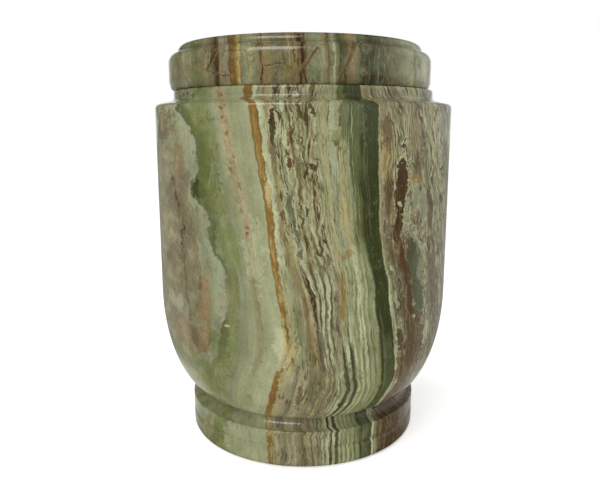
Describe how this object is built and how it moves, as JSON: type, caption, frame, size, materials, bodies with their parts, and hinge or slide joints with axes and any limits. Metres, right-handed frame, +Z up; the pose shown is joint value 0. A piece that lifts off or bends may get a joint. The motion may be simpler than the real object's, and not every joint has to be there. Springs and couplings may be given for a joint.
{
  "type": "cremation urn",
  "caption": "Round polished onyx urn with a beaded foot, straight wall, short neck and a loose stepped lid that drops into the mouth.",
  "frame": {"origin": "centre of the flat underside of the foot, which the urn stands on", "axes": "+Z up along the turned axis; -Y is the side that the picture shows, with +X to its right"},
  "size_m": [0.18, 0.18, 0.2388],
  "materials": {
    "vessel_onyx": "polished banded green onyx",
    "lid_onyx": "polished banded green and brown onyx"
  },
  "bodies": {
    "root": {"urn_body": "vessel_onyx", "lid": "lid_onyx"}
  },
  "joints": []
}
